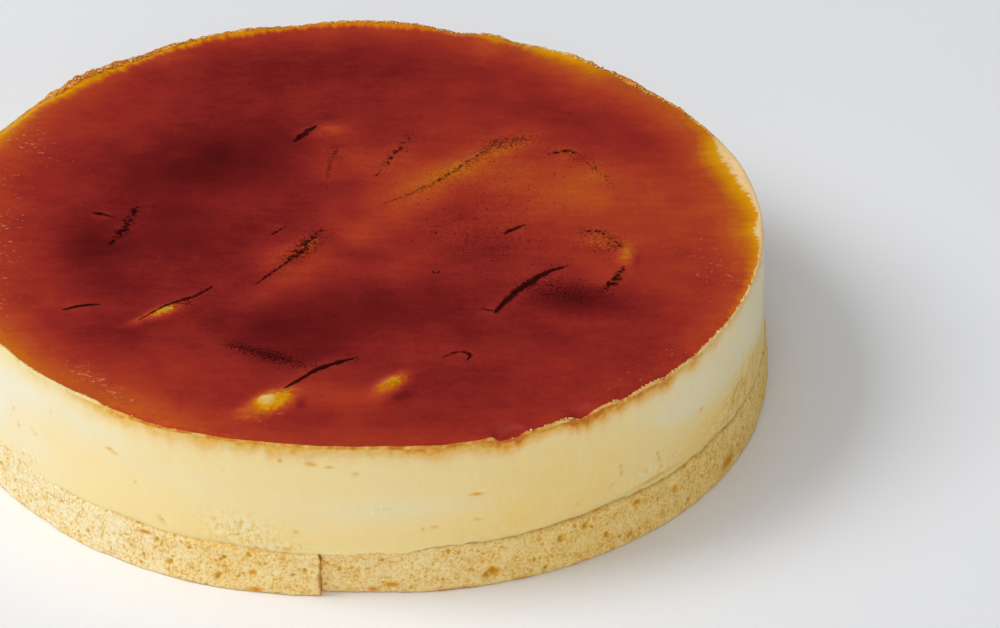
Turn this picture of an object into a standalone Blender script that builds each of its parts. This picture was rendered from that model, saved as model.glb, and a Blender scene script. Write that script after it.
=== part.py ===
"""Chiboust cake: a two-piece sponge base, a thick layer of chiboust cream and a poured caramel glaze.

Metres, +Z up. The cake stands on z = 0 with its axis on Z, and its front faces -Y.
Angles round the cake are in degrees from the front, positive towards +X.
"""

import math

import bmesh
import bpy
from mathutils import Vector, noise

# Driving dimensions of the whole cake
CAKE_HEIGHT = 0.0363  # to the level of the glaze
CREAM_TOP_RADIUS = 0.0900
CREAM_FOOT_RADIUS = 0.0907  # the soft cream spreads a little towards the sponge
SPONGE_RADIUS = 0.0917
SPONGE_HEIGHT = 0.0107
GLAZE_DEPTH = 0.0020
GAP = 0.0003  # between layers that touch

# The joint where the two pieces of sponge meet runs from front to back
SEAM_X = -0.0071
SEAM_GAP = 0.0005
SEAM_FRONT = (-4.7, -4.2)  # angles at which the left piece ends and the right piece begins

# The cream's rim and the sponge's lower edge before they are shaped round the cake
RIM_WIDTH = 0.0016
RIM_ROUNDING = 0.0006
FOOT_CHAMFER = 0.0008
FLOOR_Z = CAKE_HEIGHT - GLAZE_DEPTH  # of the recess that holds the glaze

# Relief: how far it stands out, and how far apart its bumps are
CRAG_DEPTH = 0.00050
CRAG_SPACING = 0.0042
CRAG_REACH = 0.0030  # how far in from the sponge's side the crags fade out
DENT_DEPTH = 0.00030
DENT_SPACING = 0.011
LIP_CRAG = 0.00060
LIP_CRAG_SPACING = 0.0026
SWELL_HEIGHT = 0.00022
SWELL_SPACING = 0.030

# Spacing of the turned profiles' points, steps round the axis, and the triangles each solid keeps
SIDE_SPACING = 0.0010
TOP_SPACING = 0.0014
HIDDEN_SPACING = 0.0085
ROUND_STEPS = 384
GLAZE_STEPS = 256
TRIANGLES = {"sponge_left": 1800, "sponge_right": 2000, "cream": 4600, "glaze": 4400}

# Colour and roughness of each piece
LOOKS = {
    "sponge_left": ((0.77, 0.59, 0.27), 0.85),
    "sponge_right": ((0.72, 0.53, 0.22), 0.85),
    "cream": ((0.84, 0.73, 0.43), 0.55),
    "glaze": ((0.30, 0.03, 0.013), 0.18),
}

# Round the rim: angle, width of bare cream outside the glaze, height of the lip above the glaze
RIM = (
    (-180.0, 0.0010, 0.0006),
    (-170.0, 0.0010, -0.0002),
    (-163.0, 0.0012, 0.0005),
    (-154.0, 0.0013, 0.0002),
    (-147.0, 0.0016, -0.0003),
    (-141.0, 0.0022, 0.0006),
    (-137.0, 0.0028, 0.0010),
    (-132.0, 0.0020, 0.0000),
    (-126.0, 0.0009, -0.0011),
    (-121.0, 0.0009, -0.0013),
    (-115.0, 0.0009, -0.0004),
    (-100.0, 0.0009, 0.0000),
    (-60.0, 0.0009, 0.0000),
    (-50.0, 0.0008, -0.0002),
    (-36.0, 0.0010, 0.0002),
    (-27.0, 0.0008, -0.0002),
    (-10.0, 0.0008, 0.0004),
    (12.0, 0.0008, 0.0001),
    (19.0, 0.0009, 0.0002),
    (21.5, 0.0007, -0.0012),
    (24.5, 0.0007, -0.0012),
    (26.5, 0.0013, 0.0003),
    (30.0, 0.0015, 0.0006),
    (32.0, 0.0008, -0.0009),
    (34.0, 0.0012, 0.0003),
    (38.0, 0.0013, 0.0004),
    (41.0, 0.0010, -0.0003),
    (45.0, 0.0014, 0.0005),
    (70.0, 0.0014, 0.0005),
    (80.0, 0.0009, 0.0003),
    (86.0, 0.0012, 0.0002),
    (89.0, 0.0024, 0.0002),
    (92.5, 0.0010, 0.0001),
    (97.0, 0.0018, 0.0002),
    (104.0, 0.0030, 0.0004),
    (109.0, 0.0030, 0.0004),
    (113.0, 0.0024, 0.0000),
    (118.0, 0.0012, -0.0004),
    (124.0, 0.0014, -0.0001),
    (133.0, 0.0015, -0.0004),
    (141.0, 0.0018, -0.0004),
    (145.0, 0.0018, 0.0004),
    (155.0, 0.0012, -0.0006),
    (159.0, 0.0012, 0.0003),
    (164.0, 0.0012, -0.0006),
    (173.0, 0.0010, 0.0006),
)

# Round the base: angle, how far the sponge stands out from its nominal radius
SPONGE_OUTLINE = (
    (-180.0, 0.0000),
    (-120.0, -0.0004),
    (-60.0, -0.0014),
    (-48.0, -0.0009),
    (-36.0, 0.0003),
    (-21.0, 0.0008),
    (-9.0, 0.0001),
    (SEAM_FRONT[0], -0.0002),
    (SEAM_FRONT[1], -0.0020),
    (1.0, -0.0020),
    (12.0, -0.0006),
    (22.0, 0.0001),
    (38.0, 0.0006),
    (54.0, 0.0005),
    (75.0, -0.0003),
    (120.0, 0.0000),
)

# Round the base: angle, height of the sponge's top edge
SPONGE_TOP = (
    (-180.0, 0.0107),
    (-140.0, 0.0104),
    (-100.0, 0.0110),
    (-54.0, 0.0117),
    (-47.0, 0.0111),
    (-40.0, 0.0103),
    (-34.0, 0.0106),
    (-29.0, 0.0099),
    (-22.0, 0.0101),
    (-14.0, 0.0102),
    (-4.0, 0.0098),
    (3.0, 0.0103),
    (17.0, 0.0109),
    (22.0, 0.0105),
    (40.0, 0.0110),
    (50.0, 0.0105),
    (60.0, 0.0110),
    (100.0, 0.0104),
    (140.0, 0.0110),
)

# Ridges of cream that lift the glaze: line on the top, half width, height
RIDGES = (
    (((-0.021, -0.024), (-0.009, -0.007), (0.006, 0.010)), 0.0040, 0.0005),
    (((0.006, 0.010), (0.017, 0.017), (0.028, 0.029), (0.035, 0.036)), 0.0036, 0.0007),
    (((-0.048, -0.041), (-0.041, -0.036), (-0.033, -0.029)), 0.0028, 0.0008),
    (((-0.020, -0.073), (-0.015, -0.070)), 0.0026, 0.0012),
    (((-0.009, -0.068), (0.002, -0.066)), 0.0050, 0.0008),
    (((0.004, -0.067), (0.010, -0.062)), 0.0022, 0.0009),
    (((0.040, -0.010), (0.050, -0.006), (0.058, -0.012)), 0.0036, 0.0007),
    (((-0.007, 0.041), (-0.003, 0.042)), 0.0036, 0.0006),
    (((0.040, 0.016), (0.052, 0.014)), 0.0110, 0.0004),
)

# Creases in the glaze, where a palette knife was drawn across: line, half width, depth
CREASES = (
    (((-0.0146, -0.0660), (-0.0076, -0.0596), (0.0003, -0.0545)), 0.0010, 0.0008),
    (((-0.0481, -0.0395), (-0.0385, -0.0330), (-0.0315, -0.0260)), 0.0009, 0.0005),
    (((-0.0209, -0.0239), (-0.0128, -0.0132), (-0.0056, 0.0002)), 0.0012, 0.0005),
    (((0.0065, 0.0104), (0.0174, 0.0164), (0.0281, 0.0285), (0.0361, 0.0367)), 0.0010, 0.0006),
    (((-0.0041, 0.0328), (-0.0063, 0.0134)), 0.0012, 0.0004),
    (((-0.0137, 0.0350), (-0.0084, 0.0420)), 0.0012, 0.0005),
    (((-0.0543, -0.0077), (-0.0466, 0.0087)), 0.0016, 0.0005),
    (((0.0310, -0.0343), (0.0372, -0.0244), (0.0460, -0.0174)), 0.0014, 0.0007),
    (((0.0547, -0.0265), (0.0578, -0.0166), (0.0535, -0.0061)), 0.0013, 0.0006),
)


def angle_of(x, y):
    """Degrees round the cake from its front, positive towards +X."""
    return math.degrees(math.atan2(x, -y))


def at(radius, angle):
    """The x and y of a point at this radius and angle."""
    turn = math.radians(angle)
    return radius * math.sin(turn), -radius * math.cos(turn)


def blend(t):
    """0 to 1 with a soft start and a soft end."""
    t = min(1.0, max(0.0, t))
    return t * t * (3.0 - 2.0 * t)


def round_the_edge(table, angle, column=1):
    """A table's column at this angle, eased between its rows and joined at the back."""
    rows = table + ((table[0][0] + 360.0,) + tuple(table[0][1:]),)
    for before, after in zip(rows, rows[1:]):
        if before[0] <= angle <= after[0]:
            share = (angle - before[0]) / (after[0] - before[0])
            return before[column] + (after[column] - before[column]) * blend(share)
    return rows[0][column]


def ripple(x, y, z, spacing):
    """Smooth noise from about -1 to 1, the same each run, whose bumps are this far apart."""
    return noise.noise(Vector((x, y, z)) / spacing) * 1.6


def distance_to_line(x, y, line):
    """How far a point on the top lies from a chain of straight runs."""
    nearest = math.inf
    for (ax, ay), (bx, by) in zip(line, line[1:]):
        run_x, run_y = bx - ax, by - ay
        share = ((x - ax) * run_x + (y - ay) * run_y) / (run_x**2 + run_y**2)
        share = min(1.0, max(0.0, share))
        nearest = min(nearest, math.hypot(x - ax - share * run_x, y - ay - share * run_y))
    return nearest


def stroke(x, y, line, half_width):
    """1 on a line drawn across the top, fading to 0 away from it."""
    return math.exp(-((distance_to_line(x, y, line) / half_width) ** 2))


def top_relief(x, y):
    """Height of the glaze's surface over its level: soft swells, ridges and creases."""
    height = SWELL_HEIGHT * ripple(x, y, 0.0, SWELL_SPACING)
    for line, half_width, rise in RIDGES:
        height += rise * stroke(x, y, line, half_width)
    for line, half_width, depth in CREASES:
        height -= depth * stroke(x, y, line, half_width)
    return height


def interface(radius, angle):
    """Height at which the sponge ends and the cream begins: level inside, wavy at the side."""
    edge_height = round_the_edge(SPONGE_TOP, angle)
    return SPONGE_HEIGHT + (edge_height - SPONGE_HEIGHT) * (radius / SPONGE_RADIUS) ** 2


def run(start, end, spacing):
    """Points of a profile from start to end, without the end, about this far apart."""
    count = max(1, round(math.dist(start, end) / spacing))
    return [
        (start[0] + (end[0] - start[0]) * i / count, start[1] + (end[1] - start[1]) * i / count)
        for i in range(count)
    ]


def turned(name, profile, steps):
    """A closed mesh turned round Z from a profile of (radius, height), axis to axis."""
    mesh = bpy.data.meshes.new(name + "_profile")
    points = [(radius, 0.0, height) for radius, height in profile]
    mesh.from_pydata(points, [(i, i + 1) for i in range(len(points) - 1)], [])
    source = bpy.data.objects.new(name + "_profile", mesh)
    bpy.context.scene.collection.objects.link(source)
    screw = source.modifiers.new("turn", "SCREW")
    screw.axis = "Z"
    screw.steps = steps
    screw.render_steps = steps
    screw.use_merge_vertices = True
    screw.merge_threshold = 0.00001
    bpy.context.view_layer.update()
    graph = bpy.context.evaluated_depsgraph_get()
    solid = bpy.data.objects.new(name, bpy.data.meshes.new_from_object(source.evaluated_get(graph)))
    bpy.data.objects.remove(source)
    return solid


def shape(solid, place):
    """Moves every vertex: place(radius, height, angle) gives its new radius and height."""
    for vertex in solid.data.vertices:
        x, y, z = vertex.co
        angle = angle_of(x, y)
        radius, height = place(math.hypot(x, y), z, angle)
        vertex.co = (*at(radius, angle), height)


def rim_radius(radius, angle, outer):
    """Slides a radius so that the bare rim has its own width at this angle."""
    width = round_the_edge(RIM, angle)
    if radius <= outer - RIM_WIDTH:
        return radius * (outer - width) / (outer - RIM_WIDTH)
    return outer - (outer - radius) * width / RIM_WIDTH


def lip_height(x, y, angle):
    """How far the rim stands above the glaze's level, with crags where it stands proud."""
    lip = round_the_edge(RIM, angle, column=2)
    return lip + LIP_CRAG * blend(lip / LIP_CRAG) * ripple(x, y, 0.0, LIP_CRAG_SPACING)


def place_cream(radius, height, angle):
    """The cream: lip and rim at the top, faint dents in the side, a waved underside."""
    x, y = at(radius, angle)
    on_side = radius > CREAM_TOP_RADIUS - GAP
    if on_side or height < FLOOR_Z - GAP:
        down = (CAKE_HEIGHT - height) / (CAKE_HEIGHT - SPONGE_HEIGHT - GAP)
        lift = down * (interface(radius, angle) - SPONGE_HEIGHT)
    else:
        lift = 0.0
        radius = rim_radius(radius, angle, CREAM_TOP_RADIUS)
    if on_side:
        below_rim = blend((CAKE_HEIGHT - height) / (4.0 * RIM_ROUNDING))
        radius += DENT_DEPTH * below_rim * ripple(x, y, height, DENT_SPACING)
    if height > FLOOR_Z:
        lift += lip_height(x, y, angle) * blend((height - FLOOR_Z) / GLAZE_DEPTH)
    return radius, height + lift


def place_glaze(radius, height, angle):
    """The glaze: fills the recess in the cream, and sinks where the rim is chipped."""
    outer = CREAM_TOP_RADIUS - GAP
    radius = rim_radius(radius, angle, outer)
    if height > FLOOR_Z + 2.0 * GAP:
        edge = outer - round_the_edge(RIM, angle)
        chip = min(0.0, round_the_edge(RIM, angle, column=2))
        reach = 3.0 * GLAZE_DEPTH
        height += chip * blend((radius - edge + reach) / reach)
        height += top_relief(*at(radius, angle))
    return radius, height


def place_sponge(radius, height, angle, is_right):
    """The sponge: an uneven outline, a craggy side and lower edge, a flat underside."""
    x, y = at(radius, angle)
    near_side = blend((radius - SPONGE_RADIUS + CRAG_REACH) / (CRAG_REACH - FOOT_CHAMFER))
    flare = 0.6 + 0.4 * blend(1.0 - height / SPONGE_HEIGHT)
    own_angle = max(angle, SEAM_FRONT[1]) if is_right else min(angle, SEAM_FRONT[0])
    outline = round_the_edge(SPONGE_OUTLINE, own_angle if abs(angle) < 90.0 else angle)
    height *= interface(radius, angle) / SPONGE_HEIGHT
    radius += near_side * flare * outline
    radius += near_side * CRAG_DEPTH * ripple(x, y, height, CRAG_SPACING)
    return radius, height


def cut_side(solid, edge_x, keep_right):
    """Cuts the disc of sponge with an upright plane and closes the cut face."""
    mesh = bmesh.new()
    mesh.from_mesh(solid.data)
    cut = bmesh.ops.bisect_plane(
        mesh,
        geom=mesh.verts[:] + mesh.edges[:] + mesh.faces[:],
        plane_co=(edge_x, 0.0, 0.0),
        plane_no=(1.0, 0.0, 0.0),
        clear_inner=keep_right,
        clear_outer=not keep_right,
    )
    border = [part for part in cut["geom_cut"] if isinstance(part, bmesh.types.BMEdge)]
    bmesh.ops.contextual_create(mesh, geom=border)
    bmesh.ops.recalc_face_normals(mesh, faces=mesh.faces[:])
    mesh.to_mesh(solid.data)
    mesh.free()


def make_sponge(name, edge_x, is_right):
    """One of the two pieces of sponge, on its side of the seam."""
    foot = SPONGE_RADIUS - FOOT_CHAMFER
    profile = run((0.0, SPONGE_HEIGHT), (SPONGE_RADIUS, SPONGE_HEIGHT), HIDDEN_SPACING)
    profile += run((SPONGE_RADIUS, SPONGE_HEIGHT), (SPONGE_RADIUS, FOOT_CHAMFER), SIDE_SPACING)
    profile += run((SPONGE_RADIUS, FOOT_CHAMFER), (foot, 0.0), SIDE_SPACING)
    profile += run((foot, 0.0), (0.0, 0.0), HIDDEN_SPACING) + [(0.0, 0.0)]
    solid = turned(name, profile, ROUND_STEPS)
    shape(solid, lambda radius, height, angle: place_sponge(radius, height, angle, is_right))
    cut_side(solid, edge_x, is_right)
    return solid


def make_cream():
    """The layer of cream, with a shallow recess in its top for the glaze."""
    inner = CREAM_TOP_RADIUS - RIM_WIDTH
    shoulder = (CREAM_TOP_RADIUS - RIM_ROUNDING, CAKE_HEIGHT)
    edge = (CREAM_TOP_RADIUS, CAKE_HEIGHT - RIM_ROUNDING)
    foot = SPONGE_HEIGHT + GAP
    profile = run((0.0, FLOOR_Z), (inner, FLOOR_Z), HIDDEN_SPACING)
    profile += run((inner, FLOOR_Z), (inner, CAKE_HEIGHT), SIDE_SPACING)
    profile += run((inner, CAKE_HEIGHT), shoulder, SIDE_SPACING) + [shoulder]
    profile += run(edge, (CREAM_FOOT_RADIUS, foot), SIDE_SPACING)
    profile += run((CREAM_FOOT_RADIUS, foot), (0.0, foot), HIDDEN_SPACING) + [(0.0, foot)]
    solid = turned("cream", profile, ROUND_STEPS)
    shape(solid, place_cream)
    return solid


def make_glaze():
    """The poured caramel, flat underneath and uneven on top."""
    edge = CREAM_TOP_RADIUS - GAP - RIM_WIDTH
    shoulder = (edge - GAP, CAKE_HEIGHT)
    bottom = FLOOR_Z + GAP
    profile = run((0.0, CAKE_HEIGHT), shoulder, TOP_SPACING)
    profile += [shoulder, (edge, CAKE_HEIGHT - GAP)]
    profile += run((edge, bottom), (0.0, bottom), HIDDEN_SPACING) + [(0.0, bottom)]
    solid = turned("glaze", profile, GLAZE_STEPS)
    shape(solid, place_glaze)
    return solid


def finish(solid, collection):
    """Gives a solid its material, smooth shading and a place in the cake's collection."""
    colour, roughness = LOOKS[solid.name]
    material = bpy.data.materials.new(solid.name)
    material.use_nodes = True
    shader = material.node_tree.nodes["Principled BSDF"]
    shader.inputs["Base Color"].default_value = (*colour, 1.0)
    shader.inputs["Roughness"].default_value = roughness
    shader.inputs["Metallic"].default_value = 0.0
    material.diffuse_color = (*colour, 1.0)
    solid.data.materials.append(material)
    solid.data.shade_smooth()
    solid.data.set_sharp_from_angle(angle=math.radians(50.0))
    collection.objects.link(solid)


def thin_out(solid):
    """Thins an even, dense mesh, so that its triangles gather where the form bends."""
    thin = solid.modifiers.new("thin", "DECIMATE")
    dense = sum(len(face.vertices) - 2 for face in solid.data.polygons)
    thin.ratio = TRIANGLES[solid.name] / dense
    thin.use_collapse_triangulate = True


def main():
    for leftover in list(bpy.data.objects):
        bpy.data.objects.remove(leftover)
    cake = bpy.data.collections.new("chiboust_cake")
    bpy.context.scene.collection.children.link(cake)
    solids = (
        make_sponge("sponge_left", SEAM_X - SEAM_GAP / 2.0, is_right=False),
        make_sponge("sponge_right", SEAM_X + SEAM_GAP / 2.0, is_right=True),
        make_cream(),
        make_glaze(),
    )
    for solid in solids:
        finish(solid, cake)
        thin_out(solid)


main()
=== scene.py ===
import itertools
import math

import bmesh
import bpy
import numpy as np
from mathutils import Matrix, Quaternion, Vector


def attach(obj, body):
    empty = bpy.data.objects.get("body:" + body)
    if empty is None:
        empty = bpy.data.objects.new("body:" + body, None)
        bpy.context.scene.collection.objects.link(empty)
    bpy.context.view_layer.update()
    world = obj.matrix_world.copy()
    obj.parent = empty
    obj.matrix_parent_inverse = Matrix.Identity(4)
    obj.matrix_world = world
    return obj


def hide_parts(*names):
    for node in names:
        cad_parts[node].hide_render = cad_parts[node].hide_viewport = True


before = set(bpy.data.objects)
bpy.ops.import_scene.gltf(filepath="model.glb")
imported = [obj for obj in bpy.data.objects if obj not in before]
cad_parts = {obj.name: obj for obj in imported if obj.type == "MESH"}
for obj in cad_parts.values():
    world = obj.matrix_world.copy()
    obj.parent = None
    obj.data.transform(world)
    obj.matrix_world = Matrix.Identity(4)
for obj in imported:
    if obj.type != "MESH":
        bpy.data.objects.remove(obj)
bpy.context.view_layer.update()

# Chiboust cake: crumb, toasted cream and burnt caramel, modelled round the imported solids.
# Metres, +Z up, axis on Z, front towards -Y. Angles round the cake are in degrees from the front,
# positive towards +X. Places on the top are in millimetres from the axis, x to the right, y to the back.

MM = 0.001

# Sizes, which follow the solids
CAKE_HEIGHT = 36.3 * MM
CREAM_TOP_RADIUS = 90 * MM
CREAM_FOOT_RADIUS = 90.7 * MM
SPONGE_RADIUS = 91.9 * MM
SPONGE_SHOULDER = 91.3 * MM
SPONGE_HEIGHT = 10.7 * MM
GLAZE_DEPTH = 2 * MM
GLAZE_FLOOR = CAKE_HEIGHT - GLAZE_DEPTH

# The seam, and the angles between which both pieces of sponge have columns, in front and behind
SEAM_X = -7.1 * MM
SEAM_FRONT = (-4.7, -4.2)
SEAM_BACK = (-175.8, 184.7)
SEAM_WAVE = 0.3 * MM

# Layers lie almost against each other here, closer than the solids do
LAYER_GAP = 0.015 * MM
SEAM_GAP = 0.04 * MM
RIM_GAP = 0.01 * MM

# The cream's mesh: radii of its hidden underside, height of its rounded lip, the numbers it holds
UNDERSIDE_RINGS = (20 * MM, 86 * MM, 90.2 * MM)
LIP_ROUNDING = 0.7 * MM
CREAM_MEASURES = ("toast", "pale", "deep", "mark", "bubbly", "dragged", "peach")

# Mesh density
SPONGE_COLUMNS = 1300
GLAZE_CELLS = 216
CREAM_COLUMNS = 8 * GLAZE_CELLS
CRUMB_TRIES = 2400
RAY_SHORTENING = 0.16
SHARP_ANGLE = math.radians(50)
WELD_DISTANCE = 0.002 * MM

# Camera: a fit of the photograph's rings
CAMERA_ELEVATION = 31.32
CAMERA_DISTANCE = 1.8
CAMERA_AIM = (31.58 * MM, -36.3 * MM, CAKE_HEIGHT)
CAMERA_ROLL = 0.61
CAMERA_LENS = 295.28
SENSOR_WIDTH = 36

# The room's colours, from low at its walls to straight above
ROOM_LOW = (0.8, 0.81, 0.83, 1)
ROOM_DARK = (0.03, 0.03, 0.03, 1)
ROOM_TOP = (0.95, 0.97, 1, 1)

# Round the rim: angle, width of bare cream, height of the lip above the glaze, depth of its crags,
# all in mm, and how browned it is
RIM = (
    (-180, 1, 0.6, 0.3, 0.8), (-170, 1, -0.2, 0.25, 1), (-163, 1.2, 0.5, 0.3, 0.9), (-154, 1.3, 0.2, 0.3, 1),
    (-147, 1.6, -0.3, 0.35, 1.1), (-141, 2.2, 0.6, 0.45, 1.2), (-137, 2.8, 1, 0.5, 1.1),
    (-132, 2, 0, 0.4, 1), (-126, 0.5, -1.1, 0.15, 0.6), (-121, 0.45, -1.3, 0.15, 0.5),
    (-115, 0.5, -0.4, 0.15, 0.5), (-100, 0.5, 0, 0.12, 0.4), (-60, 0.5, 0, 0.12, 0.22),
    (-50, 0.4, -0.2, 0.2, 0.22), (-38, 0.45, 0.2, 0.12, 0.26), (-35, 0.4, -0.3, 0.12, 0.6),
    (-27, 0.35, -0.6, 0.14, 0.9), (-21, 0.4, -0.1, 0.1, 0.7), (-10, 0.5, 0.4, 0.08, 0.7),
    (4, 0.5, 0.4, 0.08, 0.8), (7, 0.45, 0, 0.08, 0.8), (12, 0.4, -0.45, 0.08, 0.8),
    (18.8, 0.4, -0.4, 0.1, 0.8), (20.2, 0.4, -1.7, 0.12, 1.2), (22.6, 0.4, -1.7, 0.15, 1.2),
    (24, 0.4, -0.8, 0.25, 1), (26.5, 0.4, -0.65, 0.28, 0.55), (30, 0.4, -0.35, 0.28, 0.45),
    (31, 0.4, -0.8, 0.25, 0.9), (32, 0.4, -1.7, 0.2, 1.2), (33.4, 0.4, -1.5, 0.2, 1.1),
    (35, 0.4, -0.6, 0.25, 0.7), (36, 0.4, -0.2, 0.28, 0.5), (38, 0.4, -0.4, 0.28, 0.5),
    (40, 0.4, -1.1, 0.25, 0.9), (42, 0.4, -0.6, 0.28, 0.6), (44.5, 0.4, -0.35, 0.28, 0.5),
    (48, 0.4, -1, 0.25, 0.8), (50, 0.4, -0.7, 0.28, 0.6), (52, 0.4, -0.55, 0.28, 0.5),
    (54, 0.4, -0.9, 0.28, 0.6), (57, 0.45, -0.3, 0.32, 0.35), (64, 0.5, -0.25, 0.32, 0.3),
    (70, 0.6, 0.15, 0.3, 0.3), (80, 0.7, 0.25, 0.22, 0.3), (86, 0.9, 0.2, 0.12, 0.3),
    (89, 1.8, 0.2, 0.1, 0.3), (92.5, 0.8, 0.1, 0.1, 0.3), (97, 1.1, 0.2, 0.1, 0.3),
    (104, 2.5, 0.5, 0.1, 0.3), (109, 2.6, 0.5, 0.1, 0.3), (113, 1.7, 0.1, 0.15, 0.4),
    (118, 0.8, -0.4, 0.25, 0.8), (124, 1.1, -0.1, 0.4, 1.1), (133, 1.5, -0.4, 0.4, 1.2),
    (141, 1.3, -0.1, 0.4, 1), (145, 1.5, 0.4, 0.35, 0.6), (150, 0.9, 0, 0.3, 0.6),
    (155, 0.8, -0.6, 0.3, 0.9), (159, 1.2, 0.3, 0.3, 0.9), (164, 1.2, -0.6, 0.3, 1.1),
    (173, 1, 0.6, 0.3, 0.9),
)

# Round the base: angle, how far the sponge stands out from its nominal radius, in mm
SPONGE_OUTLINE = (
    (-180, 0), (-120, -0.4), (-60, -1.4), (-48, -0.9), (-36, 0.3), (-21, 0.8), (-9, 0.1),
    (SEAM_FRONT[0], -0.2), (SEAM_FRONT[1], -2), (1, -2), (12, -0.6), (22, 0.1), (38, 0.6), (54, 0.5),
    (75, -0.3), (120, 0),
)

# Round the base: angle, height of the sponge's top edge, in mm
SPONGE_TOP = (
    (-180, 10.7), (-140, 10.4), (-100, 11), (-54, 11.7), (-47, 11.1), (-40, 10.3), (-34, 10.6), (-29, 9.9),
    (-22, 10.1), (-14, 10.2), (-4, 9.8), (3, 10.3), (17, 10.9), (22, 10.5), (40, 11), (50, 10.5), (60, 11),
    (100, 10.4), (140, 11),
)

# The caramel near its edge: angle, how brown the thin band at the very edge is, width of that band,
# how much a broader band is lightened, width of that band, width of a beige fringe, widths in mm
EDGE = (
    (-180, 0.2, 1, 0.12, 5, 0), (-165, 0.17, 1.2, 0.14, 5, 0), (-150, 0.15, 1.4, 0.14, 6, 0),
    (-140, 0.15, 1.5, 0.18, 6, 0), (-130, 0.13, 2, 0.22, 7, 0), (-118, 0.13, 2.8, 0.24, 10, 0),
    (-100, 0.16, 2.4, 0.18, 10, 0), (-85, 0.22, 1.8, 0.18, 9, 0), (-70, 0.24, 1.6, 0.22, 8, 0),
    (-55, 0.27, 1.6, 0.22, 7, 0), (-42, 0.34, 0.9, 0.22, 9, 0), (-28, 0.44, 0.4, 0.18, 9, 0),
    (-10, 0.55, 0.1, 0.07, 7, 0), (45, 0.55, 0.1, 0.04, 6, 0), (60, 0.38, 0.4, 0.14, 7, 0),
    (70, 0.26, 0.9, 0.18, 7, 0), (82, 0.2, 1.6, 0.24, 8, 0.1), (88.5, 0.14, 2.4, 0.27, 9, 0.5),
    (93, 0.15, 2.2, 0.29, 9, 0.3), (100, 0.13, 3.4, 0.32, 8, 0.8), (108, 0.12, 3.8, 0.32, 8, 1),
    (113, 0.13, 3.4, 0.31, 8, 0.5), (118, 0.2, 1.8, 0.31, 9, 0), (126, 0.28, 0.9, 0.28, 10, 0),
    (136, 0.26, 1, 0.26, 10, 0), (142, 0.17, 1.8, 0.37, 11, 0), (150, 0.13, 2.4, 0.36, 10, 0.1),
    (157, 0.18, 1.4, 0.26, 9, 0), (165, 0.2, 1.2, 0.18, 7, 0),
)

# Rows across the rim: share of its width, depth below the lip in mm, how much of the crags it has
RIM_ROWS = (
    (0.03, 0.4, 0.8), (0.1, 0.16, 1), (0.28, 0, 1), (0.48, 0, 1), (0.68, 0, 0.9), (0.86, 0.02, 0.6),
    (1, 0.06, 0), (1, 0.8, 0),
)

# Where the caramel is thick (above 0) or thin (below 0), and where painted shade (above 0) or a painted
# highlight (below 0) lies on it: centre, half length, half width, direction in degrees, amount
THICKNESS_AND_PAINTED_LIGHT_ZONES = (
    (-31, 29, 26, 15, 25, 0.27), (-57, -7, 15, 12, 60, 0.25), (-14, -45, 20, 9, -20, 0.17),
    (7, -33, 30, 12, 8, 0.2), (46.7, 46, 10, 6, -20, 0.1), (-6, 68, 45, 9, 0, 0.11),
    (-58, -42, 16, 6, 5, 0.08), (24, -62, 28, 12, 10, 0.06), (49, -30.5, 12, 6, -8, 0.26),
    (-24, -6, 18, 12, 40, 0.16), (21, 24, 26, 6, 42, -0.18), (45, 18, 22, 14, -20, -0.2),
    (70, -4, 18, 24, 0, -0.09), (4, -1, 24, 5, 50, -0.12), (-18, -26, 10, 3.5, 45, -0.1),
    (-6, 40, 6, 5, 0, -0.1), (-66, -52, 26, 12, -45, -0.12), (-80, 10, 10, 32, 0, -0.05),
    # The next four rows are painted light, not thickness: a painted highlight on the ridge between the two
    # front bumps, painted shadows beside those bumps, and a painted shadow beside the bump near the right rim
    (-2.5, -68.8, 9, 4.6, 8, -0.13), (-11.2, -71.9, 1.1, 2.6, 0, 0.22), (9.9, -69.4, 3.4, 1.8, 40, 0.16),
    (61.8, -14, 0.8, 3, 0, 0.12), (-53, -47, 12, 12, 0, 0.1), (-49, -26, 10, 8, 0, 0.1),
    (38, -44, 22, 8, 0, 0.1), (-69, -14, 9, 12, 0, -0.12), (-3, -10, 7, 5, 0, 0.12),
    (-15, -53, 12, 5, 0, 0.08), (-38, 2, 9, 16, 0, 0.06), (-34, 52, 16, 10, 0, 0.09),
    (6, 26, 14, 9, 0, -0.12), (31, -10, 9, 6, 0, 0.09), (-20, -10, 7, 6, 0, -0.1),
)
BASE_BROWN = 0.6

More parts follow.
